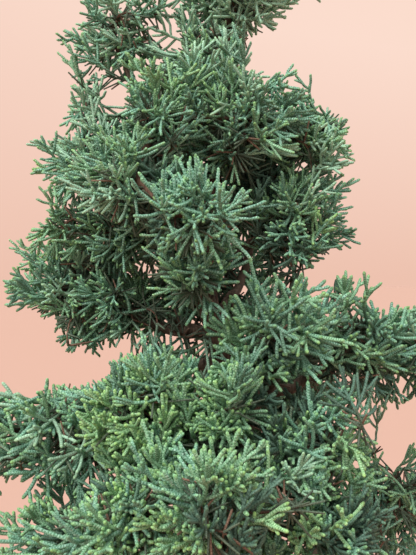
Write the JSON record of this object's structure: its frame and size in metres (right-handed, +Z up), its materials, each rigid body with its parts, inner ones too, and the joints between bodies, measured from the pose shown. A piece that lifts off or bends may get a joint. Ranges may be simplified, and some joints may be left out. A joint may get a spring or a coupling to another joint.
{
  "type": "potted juniper bonsai",
  "caption": "Small informal-upright juniper bonsai with scale-leaf foliage pads on tapering boughs, standing in a plain shallow clay pot of soil.",
  "frame": {"origin": "centre of the pot's flat underside, on the surface that the pot stands on", "axes": "+Z up along the plant's height, +X to the right along the pot's long side, -Y towards the viewer, the side that the picture shows"},
  "size_m": [0.2429, 0.1965, 0.4412],
  "materials": {
    "clay": "unglazed brown clay, matt",
    "soil": "loose moist grit and loam",
    "bark": "rough fibrous red-brown and grey-brown bark",
    "foliage": "matt blue-green scale leaves with paler tips"
  },
  "bodies": {
    "root": {"bough_back": "bark", "bough_bottom_left": "bark", "bough_bottom_right": "bark", "bough_front": "bark", "bough_front_left": "bark", "bough_front_right": "bark", "bough_low_back_left": "bark", "bough_low_back_right": "bark", "bough_low_left": "bark", "bough_low_right": "bark", "bough_middle_back_left": "bark", "bough_middle_back_right": "bark", "bough_middle_front": "bark", "bough_middle_left": "bark", "bough_middle_right": "bark", "bough_top_left": "bark", "bough_upper_left": "bark", "bough_upper_right": "bark", "foliage_apex": "foliage", "foliage_back_bottom": "foliage", "foliage_back_left": "foliage", "foliage_back_low_left": "foliage", "foliage_back_low_right": "foliage", "foliage_back_middle": "foliage", "foliage_back_top": "foliage", "foliage_back_upper_left": "foliage", "foliage_back_upper_right": "foliage", "foliage_bottom_front": "foliage", "foliage_bottom_front_left": "foliage", "foliage_bottom_front_right": "foliage", "foliage_bottom_left": "foliage", "foliage_bottom_right": "foliage", "foliage_front_drop": "foliage", "foliage_front_star": "foliage", "foliage_left_front": "foliage", "foliage_left_inner": "foliage", "foliage_left_outer": "foliage", "foliage_left_sprays": "foliage", "foliage_low_left": "foliage", "foliage_low_left_far": "foliage", "foliage_low_middle": "foliage", "foliage_low_middle_left": "foliage", "foliage_low_middle_right": "foliage", "foliage_lower_left": "foliage", "foliage_middle_core": "foliage", "foliage_near_front": "foliage", "foliage_right_far": "foliage", "foliage_right_middle": "foliage", "foliage_right_outer": "foliage", "foliage_right_shoulder": "foliage", "foliage_right_star": "foliage", "foliage_top_left": "foliage", "foliage_under_left": "foliage", "foliage_upper_middle_left": "foliage", "foliage_upper_middle_right": "foliage", "foliage_upper_neck": "foliage", "pot": "clay", "soil": "soil", "trunk": "bark"}
  },
  "joints": []
}
